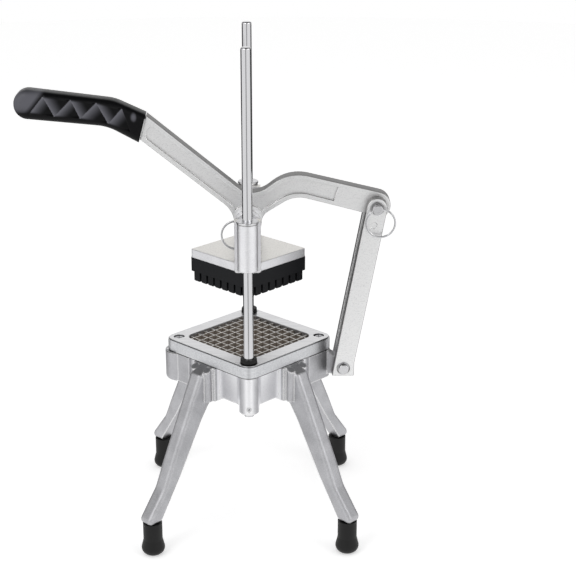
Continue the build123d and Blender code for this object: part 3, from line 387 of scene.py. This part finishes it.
def brushedAluminium():
    material, tree, shader, place = newMaterial(brushed["name"])
    spun = addNode(tree, "ShaderNodeMapping", links={"Vector": place}, values={
        "Rotation": (0, 0, radians(brushed["turn"])),
        "Scale": (brushed["streakMm"] / brushed["streakLengthMm"], 1, 1)})
    streaks = addNode(tree, "ShaderNodeTexNoise", links={"Vector": spun.outputs[0]},
                      values={"Scale": patternScale(brushed["streakMm"]), "Detail": brushed["detail"]})
    contrast = addNode(tree, "ShaderNodeMapRange", links={"Value": streaks.outputs["Fac"]},
                       values={"From Min": brushed["toneFrom"], "From Max": brushed["toneTo"]})
    facing = addNode(tree, "ShaderNodeTexCoord").outputs["Normal"]
    facingUp = addNode(tree, "ShaderNodeSeparateXYZ", links={"Vector": facing}).outputs["Z"]
    # the upright sides get a darker copy of the metal colours as painted shade
    side, top = (
        addNode(tree, "ShaderNodeMix", data_type="RGBA", links={"Factor": contrast.outputs[0]}, values={
            "A": linear(brushed[dark]), "B": linear(brushed[light])}).outputs["Result"]
        for dark, light in (("sideShade", "side"), ("topShade", "top")))
    metal = addNode(tree, "ShaderNodeMix", data_type="RGBA", links={"Factor": facingUp, "A": side, "B": top})
    # a painted shadow line along the frame's foot, at the joint with the base
    shadowLine = seamShadowLine(tree, place, facingUp, brushed["deckSide"])
    withSeamShadow = addNode(tree, "ShaderNodeMix", data_type="RGBA", values={"B": linear(brushed["paintedShade"])},
                    links={"Factor": shadowLine, "A": metal.outputs["Result"]})
    # painted shade in the frame's corners
    tree.links.new(paintCornerShade(tree, withSeamShadow.outputs["Result"], brushed), shader.inputs["Base Color"])
    shader.inputs["Metallic"].default_value = 1.0
    shader.inputs["Roughness"].default_value = brushed["roughness"]
    bump = addNode(tree, "ShaderNodeBump", links={"Height": streaks.outputs["Fac"]},
                   values={"Strength": brushed["bump"], "Distance": brushed["bumpMm"] * mm})
    tree.links.new(bump.outputs["Normal"], shader.inputs["Normal"])
    return material


# Stainless steel, centreless ground, turned or drawn: mirror-like to satin, with faint rings round the
# bar that are drawn coarser than real ones.
polished = {
    "colour": "D5D5D7", "ringMm": 0.35, "ringStretch": 20, "detail": 1.0, "rougher": 0.05,
    "roughness": {
        "ground stainless bar": 0.09, "machined stainless fastener": 0.22, "turned bushing steel": 0.28,
        "tempered ring wire": 0.16,
    },
}


def groundStainless(name):
    roughness = polished["roughness"][name]
    material, tree, shader, place = newMaterial(name)
    stretch = addNode(tree, "ShaderNodeMapping", links={"Vector": place},
                      values={"Scale": (1 / polished["ringStretch"], 1 / polished["ringStretch"], 1)})
    rings = addNode(tree, "ShaderNodeTexNoise", links={"Vector": stretch.outputs[0]},
                    values={"Scale": patternScale(polished["ringMm"]), "Detail": polished["detail"]})
    shader.inputs["Base Color"].default_value = linear(polished["colour"])
    shader.inputs["Metallic"].default_value = 1.0
    rough = addNode(tree, "ShaderNodeMapRange", links={"Value": rings.outputs["Fac"]}, values={
        "From Min": noiseLow, "From Max": noiseHigh,
        "To Min": roughness, "To Max": roughness + polished["rougher"]})
    tree.links.new(rough.outputs[0], shader.inputs["Roughness"])
    return material


# Rolled stainless strip, blotchy: its sides painted dark brownish as shade, its upward faces painted pale as
# lit tops.
blade = {
    "name": "rolled stainless strip, painted lit tops and shaded sides", "blotchMm": 3.0, "detail": 3.0,
    "side": "9C9288", "sideShade": "786F66", "sideRoughness": 0.42, "sideMetal": 0.35,
    "edge": "FBFAF8", "edgeShade": "F0EEEA", "edgeRoughness": 0.35, "edgeMetal": 0.9,
    "edgeFrom": 0.8, "edgeTo": 0.95,  # how far a face has to look up to get the painted light of a top
}


def rolledBladeSteel():
    material, tree, shader, place = newMaterial(blade["name"])
    blotches = addNode(tree, "ShaderNodeTexNoise", links={"Vector": place},
                       values={"Scale": patternScale(blade["blotchMm"]), "Detail": blade["detail"]})
    facing = addNode(tree, "ShaderNodeTexCoord").outputs["Normal"]
    axes = addNode(tree, "ShaderNodeSeparateXYZ", links={"Vector": facing})
    # upward faces get the pale painted light, the sides the dark brownish painted shade
    edge = addNode(tree, "ShaderNodeMapRange", links={"Value": axes.outputs["Z"]},
                   values={"From Min": blade["edgeFrom"], "From Max": blade["edgeTo"]})
    side, top = (
        addNode(tree, "ShaderNodeMix", data_type="RGBA", links={"Factor": blotches.outputs["Fac"]}, values={
            "A": linear(blade[dark]), "B": linear(blade[light])}).outputs["Result"]
        for dark, light in (("sideShade", "side"), ("edgeShade", "edge")))
    colour = addNode(tree, "ShaderNodeMix", data_type="RGBA",
                     links={"Factor": edge.outputs[0], "A": side, "B": top})
    tree.links.new(colour.outputs["Result"], shader.inputs["Base Color"])
    for socket, sideLevel, edgeLevel in (
        ("Metallic", blade["sideMetal"], blade["edgeMetal"]),
        ("Roughness", blade["sideRoughness"], blade["edgeRoughness"]),
    ):
        level = addNode(tree, "ShaderNodeMapRange", links={"Value": edge.outputs[0]},
                        values={"To Min": sideLevel, "To Max": edgeLevel})
        tree.links.new(level.outputs[0], shader.inputs[socket])
    return material


# Moulded rubber, dipped vinyl and moulded nylon, all black: a soft sheen over a fine texture, and a grey
# painted sheen on parts of the grip.
# the grey on the next line is the grip's painted sheen
blackFinish = {"detail": 3.0, "paintedLight": "6C6C73", "smoother": 0.05, "rougher": 0.08, "bumpMm": 0.1}
blacks = {
    "moulded nitrile rubber": {
        "light": "141414", "dark": "0C0C0C",
        "roughness": 0.50, "specular": 0.30, "grainMm": 1.1, "bump": 0.25,
    },
    "dipped black vinyl": {
        "light": "0B0B0D", "dark": "060607",
        "roughness": 0.34, "specular": 0.14, "grainMm": 2.5, "bump": 0.05,
    },
    "moulded black nylon": {
        "light": "121317", "dark": "0A0B0E",
        "roughness": 0.46, "specular": 0.18, "grainMm": 0.8, "bump": 0.20,
    },
}


def blackMoulding(name):
    look = blacks[name]
    material, tree, shader, place = newMaterial(name)
    grain = addNode(tree, "ShaderNodeTexNoise", links={"Vector": place}, values={
        "Scale": patternScale(look["grainMm"]), "Detail": blackFinish["detail"]}).outputs["Fac"]
    colour = addNode(tree, "ShaderNodeMix", data_type="RGBA", links={"Factor": grain},
                     values={"A": linear(look["dark"]), "B": linear(look["light"])})
    # a painted sheen, read from an attribute; a piece without this attribute reads 0 and stays plain
    paintedLight = addNode(tree, "ShaderNodeAttribute", attribute_name="paintedLight").outputs["Fac"]
    withPaintedLight = addNode(tree, "ShaderNodeMix", data_type="RGBA", values={"B": linear(blackFinish["paintedLight"])},
                   links={"Factor": paintedLight, "A": colour.outputs["Result"]})
    tree.links.new(withPaintedLight.outputs["Result"], shader.inputs["Base Color"])
    shader.inputs["Specular IOR Level"].default_value = look["specular"]
    rough = addNode(tree, "ShaderNodeMapRange", links={"Value": grain}, values={
        "From Min": noiseLow, "From Max": noiseHigh, "To Min": look["roughness"] - blackFinish["smoother"],
        "To Max": look["roughness"] + blackFinish["rougher"]})
    tree.links.new(rough.outputs[0], shader.inputs["Roughness"])
    bump = addNode(tree, "ShaderNodeBump", links={"Height": grain},
                   values={"Strength": look["bump"], "Distance": blackFinish["bumpMm"] * mm})
    tree.links.new(bump.outputs["Normal"], shader.inputs["Normal"])
    return material


leverCasting = tumbledCastAluminium(castings["lever"])
headCasting = tumbledCastAluminium(castings["head"])
baseCasting = tumbledCastAluminium(castings["base"])
frameAluminium = brushedAluminium()
barSteel = groundStainless("ground stainless bar")
fastenerSteel = groundStainless("machined stainless fastener")
bushingSteel = groundStainless("turned bushing steel")
ringSteel = groundStainless("tempered ring wire")
bladeSteel = rolledBladeSteel()
rubber = blackMoulding("moulded nitrile rubber")
vinyl = blackMoulding("dipped black vinyl")
nylon = blackMoulding("moulded black nylon")

finishes = {
    "base_casting": baseCasting, "pusher_head": headCasting, "lever": leverCasting, "link": leverCasting,
    "blade_frame": frameAluminium, "upper_blades": bladeSteel, "lower_blades": bladeSteel,
    "front_guide_rod": barSteel, "rear_guide_rod": barSteel,
    "front_bushing": bushingSteel, "rear_bushing": bushingSteel,
    "front_bumper": rubber, "rear_bumper": rubber,
    "front_left_foot": rubber, "front_right_foot": rubber,
    "rear_left_foot": rubber, "rear_right_foot": rubber,
    "pusher_block": nylon, "grip": vinyl,
}
for name, node in nodes.items():
    node.data.materials.clear()
    node.data.materials.append(finishes.get(name, fastenerSteel))
print("materials set on", len(nodes), "nodes")


def finishSkin(mesh, mergeGap=None):  # smooth faces that point outwards; points nearer than the gap are one
    build = bmesh.new()
    build.from_mesh(mesh)
    if mergeGap is not None:
        bmesh.ops.remove_doubles(build, verts=build.verts, dist=mergeGap * mm)
        bmesh.ops.dissolve_degenerate(build, edges=build.edges, dist=mergeGap / 2 * mm)
    bmesh.ops.recalc_face_normals(build, faces=build.faces)
    for face in build.faces:
        face.smooth = True
    build.to_mesh(mesh)
    build.free()


# The grip's outline and its core, from the lever's pin: x, height and the radius of the corner. Each has
# an upper and a lower side, both from the mouth to the middle of the closed end.
grip = {
    "upper": ((-94.9, 106.2, 0), (-124.0, 119.8, 40), (-217.8, 131.8, 13.5), (-217.8, 117.5, 0)),
    "lower": ((-102.3, 79.1, 0), (-131.0, 94.8, 45), (-217.8, 103.2, 13.5), (-217.8, 117.5, 0)),
    "coreUpper": ((-96.0, 102.1, 0), (-124.9, 115.6, 36), (-213.0, 126.8, 9.5), (-213.0, 117.0, 0)),
    "coreLower": ((-100.9, 84.1, 0), (-132.0, 98.6, 48), (-213.0, 107.2, 9), (-213.0, 117.0, 0)),
    "halfWidth": 12.0, "round": 6.5, "leastHalf": 4.5, "coreHalfWidth": 8.0,
    "columns": 250, "rows": 56, "coreColumns": 40, "coreRows": 2, "cornerSteps": 24,
    "mergeGap": 0.01,
    # corners of the pressed facets: a zigzag that starts low at the closed end
    "zigzag": ((-202.3, 108.8), (-189.4, 124.5), (-179.7, 105.3), (-163.9, 121.3), (-155.7, 103.3),
               (-140.1, 118.5), (-129.8, 98.4), (-116.4, 113.0), (-108.7, 89.7)),
    # some values below set the painted sheen on facets, panel and dimple
    "facetDepth": 2.6, "facetCurve": 1.5, "facetFade": 2.0, "facetSheen": 1.9, "facetSheenCurve": 1.6,
    "grooveDepth": 0.9, "grooveWidth": 0.9, "grooveBelow": 0.2,  # only where a facet isn't deeper than this
    "panelFade": 4.0, "panelHalf": 11.0, "panelUp": 3, "panelSquareness": 4, "panelSheen": 0.8,
    "dimple": (-106.0, 104.3), "dimpleHalf": (3.1, 4.6), "dimpleDepth": 0.8, "dimpleSheen": 0.8,
}


def roundedPath(corners, count):
    # points at even steps along a line whose corners are rounded with their radii
    line = [Vector(corners[0][:2])]
    steps = grip["cornerSteps"]
    for before, corner, after in zip(corners, corners[1:], corners[2:]):
        middle, radius = Vector(corner[:2]), corner[2]
        back = (Vector(before[:2]) - middle).normalized()
        ahead = (Vector(after[:2]) - middle).normalized()
        half = back.angle(ahead) / 2
        centre = middle + (back + ahead).normalized() * radius / sin(half)
        start = middle + back * radius / tan(half) - centre
        end = middle + ahead * radius / tan(half) - centre
        line += [centre + start.lerp(end, step / steps).normalized() * radius for step in range(steps + 1)]
    line.append(Vector(corners[-1][:2]))
    points = numpy.array([tuple(point) for point in line])
    lengths = numpy.concatenate(([0], numpy.cumsum(numpy.hypot(*numpy.diff(points, axis=0).T))))
    places = numpy.linspace(0, lengths[-1], count + 1)
    return numpy.stack([numpy.interp(places, lengths, points[:, axis]) for axis in (0, 1)], axis=1)


def outlineDistance(points, path):
    # distance of each point to the nearest stretch of a path
    nearest = numpy.full(len(points), numpy.inf)
    for start, end in zip(path[:-1], path[1:]):
        run = end - start
        length = max(run @ run, numpy.finfo(float).tiny)
        share = numpy.clip(((points - start) @ run) / length, 0, 1)
        nearest = numpy.minimum(nearest, numpy.hypot(*(points - start - share[:, None] * run).T))
    return nearest


def facetPattern(points):
    # how far the surface is pressed in, and how much painted sheen it gets: each facet is flush along
    # its left edge and falls away in a curve to its right corner, and is painted lighter away from that
    # corner
    depth, paintedLight = numpy.zeros(len(points)), numpy.zeros(len(points))
    corners = numpy.array(grip["zigzag"])
    for first, second, third in zip(corners, corners[1:], corners[2:]):
        area = numpy.cross(second - first, third - first)
        atThird = numpy.cross(second - first, points - first) / area
        atSecond = numpy.cross(points - first, third - first) / area
        atFirst = 1 - atSecond - atThird
        inside = (atFirst >= 0) & (atSecond >= 0) & (atThird >= 0)
        height = abs(area) / numpy.hypot(*(third - first))
        fade = numpy.clip(atSecond * height / grip["facetFade"], 0, 1)
        fall = numpy.clip(atThird, 0, 1) ** grip["facetCurve"]
        depth = numpy.where(inside, grip["facetDepth"] * fall * fade, depth)
        sheen = numpy.clip(1 - grip["facetSheen"] * atThird, 0, 1) ** grip["facetSheenCurve"]
        paintedLight = numpy.where(inside, sheen * fade, paintedLight)
    # the plain panel at the closed end, with a groove between it and the first facet
    start, end = corners[0], corners[1]
    ahead = numpy.cross(end - start, points - start) / numpy.hypot(*(end - start))
    panel = numpy.clip((ahead - grip["grooveWidth"]) / grip["panelFade"], 0, 1)
    above = points[:, 1] - (start + end)[1] / 2 - grip["panelUp"]
    inset = numpy.clip(1 - (numpy.abs(above) / grip["panelHalf"]) ** grip["panelSquareness"], 0, 1)
    # painted sheen on the middle of the panel
    paintedLight = numpy.maximum(paintedLight, grip["panelSheen"] * panel * inset)
    groove = numpy.exp(-(outlineDistance(points, corners[:2]) / grip["grooveWidth"]) ** 2)
    depth += grip["grooveDepth"] * groove * (depth < grip["grooveBelow"])
    # the round dimple near the mouth, with painted sheen in it
    bowl = 1 - (((points - numpy.array(grip["dimple"])) / numpy.array(grip["dimpleHalf"])) ** 2).sum(axis=1)
    bowl = numpy.clip(bowl, 0, 1)
    depth += grip["dimpleDepth"] * numpy.sqrt(bowl)
    return depth, numpy.maximum(paintedLight, grip["dimpleSheen"] * bowl)


def sleeveGrid(upper, lower, columns, rows):
    high, low = roundedPath(upper, columns), roundedPath(lower, columns)
    share = numpy.linspace(0, 1, rows + 1)[None, :, None]
    return low[:, None, :] * (1 - share) + high[:, None, :] * share, high, low


def gridShell(points, faces, grid, depths):
    # front and back of a flat sleeve joined round its edge; returns the rim at the mouth
    columns, rows = grid.shape[0] - 1, grid.shape[1] - 1
    base = len(points)
    for side in (-1, 1):
        for i in range(columns + 1):
            for j in range(rows + 1):
                x, z = grid[i, j] * mm
                points.append((pivot.x + x, side * depths[i, j] * mm, pivot.z + z))

    def at(side, i, j):
        return base + side * (columns + 1) * (rows + 1) + i * (rows + 1) + j

    for i in range(columns):
        for j in range(rows):
            for side in (0, 1):
                faces.append((at(side, i, j), at(side, i + 1, j), at(side, i + 1, j + 1), at(side, i, j + 1)))
        for j in (0, rows):
            faces.append((at(0, i, j), at(0, i + 1, j), at(1, i + 1, j), at(1, i, j)))
    return [at(0, 0, j) for j in range(rows + 1)], [at(1, 0, j) for j in range(rows + 1)]


def buildGrip():
    points, faces = [], []
    grid, high, low = sleeveGrid(grip["upper"], grip["lower"], grip["columns"], grip["rows"])
    flat = grid.reshape(-1, 2)
    path = numpy.concatenate((low, high[::-1]))
    edge = numpy.minimum(outlineDistance(flat, path), grip["round"])
    rise = numpy.sqrt(numpy.maximum(grip["round"] ** 2 - (grip["round"] - edge) ** 2, 0))
    pressed, paintedLight = facetPattern(flat)
    depths = grip["halfWidth"] - grip["round"] + rise - pressed
    depths = numpy.maximum(depths, grip["leastHalf"]).reshape(grid.shape[:2])
    outer = gridShell(points, faces, grid, depths)
    grid, high, low = sleeveGrid(grip["coreUpper"], grip["coreLower"], grip["coreColumns"], grip["coreRows"])
    inner = gridShell(points, faces, grid, numpy.full(grid.shape[:2], grip["coreHalfWidth"]))
    # the ring at the mouth, between the outer rim and the rim of the cavity
    for side in (0, 1):
        rim, hole = outer[side], inner[side]
        share = (len(rim) - 1) // (len(hole) - 1)
        for k in range(len(hole) - 1):
            middle = k * share + share // 2
            for j in range(k * share, middle):
                faces.append((rim[j], rim[j + 1], hole[k]))
            faces.append((rim[middle], hole[k + 1], hole[k]))
            for j in range(middle, (k + 1) * share):
                faces.append((rim[j], rim[j + 1], hole[k + 1]))
    for end in (0, -1):
        faces.append((outer[0][end], outer[1][end], inner[1][end], inner[0][end]))
    mesh = bpy.data.meshes.new("mouldedGrip")
    mesh.from_pydata(points, [], faces)
    plain = numpy.zeros(len(points) - 2 * len(paintedLight))
    # the painted sheen is kept on the mesh as a point attribute
    shares = mesh.attributes.new("paintedLight", "FLOAT", "POINT")
    shares.data.foreach_set("value", numpy.concatenate((paintedLight, paintedLight, plain)))
    finishSkin(mesh, grip["mergeGap"])
    mesh.materials.append(vinyl)
    piece = bpy.data.objects.new("mouldedGrip", mesh)
    scene.collection.objects.link(piece)
    return piece


gripPiece = buildGrip()
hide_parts("grip")
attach(gripPiece, "lever")
print("grip built:", len(gripPiece.data.polygons), "faces")

# Pull rings, wound like key rings: two turns of flattened wire side by side, with a short overlap.
ring = {
    "sizes": {
        "Radius": 13.8, "Wire Radial": 1.75, "Wire Across": 0.88, "Corner Round": 0.3, "Turn Offset": 0.47,
        "Turns": 2 + 30 / 360, "Crossover": 0.09,  # both in turns, with 30 degrees past the second
    },
    "pointsPerTurn": 96, "cornerPoints": 3,
    # piece, node, body, pin, where it hangs along y, its direction from the pin and where its wire begins,
    # the last two in degrees
    "places": (
        ("pivotPullRing", "pivot_pull_ring", "pivot_ring", pivot, -22.6, -145.0, 200.0),
        ("upperPullRing", "upper_pull_ring", "upper_ring", linkPin, -21.5, -77.0, 62.0),
    ),
}


def windingTree():
    # a straight wire along x, one unit long for each turn, is bent round y
    tree = bpy.data.node_groups.new("woundPullRing", "GeometryNodeTree")
    tree.interface.new_socket("Geometry", in_out="OUTPUT", socket_type="NodeSocketGeometry")
    kinds = {"Points": "NodeSocketInt", "Middle": "NodeSocketVector"}
    for name in (*ring["sizes"], "Points", "Start", "Middle"):
        tree.interface.new_socket(name, in_out="INPUT", socket_type=kinds.get(name, "NodeSocketFloat"))
    size = addNode(tree, "NodeGroupInput").outputs
    far = addNode(tree, "ShaderNodeCombineXYZ", links={"X": size["Turns"]})
    line = addNode(tree, "GeometryNodeCurvePrimitiveLine", links={"End": far.outputs[0]})
    path = addNode(tree, "GeometryNodeResampleCurve", mode="COUNT",
                   links={"Curve": line.outputs[0], "Count": size["Points"]})
    outline = addNode(tree, "GeometryNodeCurvePrimitiveQuadrilateral", mode="RECTANGLE",
                      links={"Width": size["Wire Across"], "Height": size["Wire Radial"]})
    section = addNode(tree, "GeometryNodeFilletCurve", mode="POLY", values={"Count": ring["cornerPoints"]},
                      links={"Curve": outline.outputs[0], "Radius": size["Corner Round"]})
    wire = addNode(tree, "GeometryNodeCurveToMesh", values={"Fill Caps": True},
                   links={"Curve": path.outputs[0], "Profile Curve": section.outputs[0]})
    place = addNode(tree, "GeometryNodeInputPosition")
    spot = addNode(tree, "ShaderNodeSeparateXYZ", links={"Vector": place.outputs[0]}).outputs
    # the wire crosses from the front layer to the back layer where its second turn begins
    past = addNode(tree, "ShaderNodeMath", operation="SUBTRACT", values={1: 1.0}, links={0: spot["X"]})
    share = addNode(tree, "ShaderNodeMath", operation="DIVIDE",
                    links={0: past.outputs[0], 1: size["Crossover"]})
    side = addNode(tree, "ShaderNodeMapRange", interpolation_type="SMOOTHSTEP",
                   links={"Value": share.outputs[0]},
                   values={"From Min": -0.5, "From Max": 0.5, "To Min": -1.0, "To Max": 1.0})
    layer = addNode(tree, "ShaderNodeMath", operation="MULTIPLY_ADD",
                    links={0: side.outputs[0], 1: size["Turn Offset"], 2: spot["Y"]})
    angle = addNode(tree, "ShaderNodeMath", operation="MULTIPLY_ADD", values={1: 2 * pi},
                    links={0: spot["X"], 2: size["Start"]})
    reach = addNode(tree, "ShaderNodeMath", operation="ADD", links={0: spot["Z"], 1: size["Radius"]})
    bent = addNode(tree, "ShaderNodeCombineXYZ", links={"Y": layer.outputs[0]})
    for axis, wave in (("X", "COSINE"), ("Z", "SINE")):
        turned = addNode(tree, "ShaderNodeMath", operation=wave, links={0: angle.outputs[0]})
        spread = addNode(tree, "ShaderNodeMath", operation="MULTIPLY",
                         links={0: turned.outputs[0], 1: reach.outputs[0]})
        tree.links.new(spread.outputs[0], bent.inputs[axis])
    wound = addNode(tree, "GeometryNodeSetPosition",
                    links={"Geometry": wire.outputs[0], "Position": bent.outputs[0]})
    hung = addNode(tree, "GeometryNodeTransform", values={"Scale": (mm, mm, mm)},
                   links={"Geometry": wound.outputs[0], "Translation": size["Middle"]})
    real = addNode(tree, "GeometryNodeRealizeInstances", links={"Geometry": hung.outputs[0]})
    steel = addNode(tree, "GeometryNodeSetMaterial", values={"Material": ringSteel},
                    links={"Geometry": real.outputs[0]})
    addNode(tree, "NodeGroupOutput", links={"Geometry": steel.outputs[0]})
    return tree


def buildRing(name, tree, pin, across, turn, start):
    sizes = ring["sizes"]
    middle = pin + Vector((cos(radians(turn)), 0, sin(radians(turn)))) * sizes["Radius"] * mm
    middle.y = across * mm
    points = round(sizes["Turns"] * ring["pointsPerTurn"]) + 1
    chosen = {**sizes, "Points": points, "Start": radians(start), "Middle": tuple(middle)}
    piece = bpy.data.objects.new(name, bpy.data.meshes.new(name))
    scene.collection.objects.link(piece)
    winding = piece.modifiers.new("winding", "NODES")
    winding.node_group = tree
    for item in tree.interface.items_tree:
        if item.in_out == "INPUT":
            winding[item.identifier] = chosen[item.name]
    drawn = piece.evaluated_get(bpy.context.evaluated_depsgraph_get())
    mesh = bpy.data.meshes.new_from_object(drawn)
    piece.modifiers.remove(winding)
    piece.data = mesh
    finishSkin(mesh)
    return piece


pullRingTree = windingTree()
for name, node, body, pin, across, turn, start in ring["places"]:
    piece = buildRing(name, pullRingTree, pin, across, turn, start)
    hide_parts(node)
    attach(piece, body)
print("pull rings built")
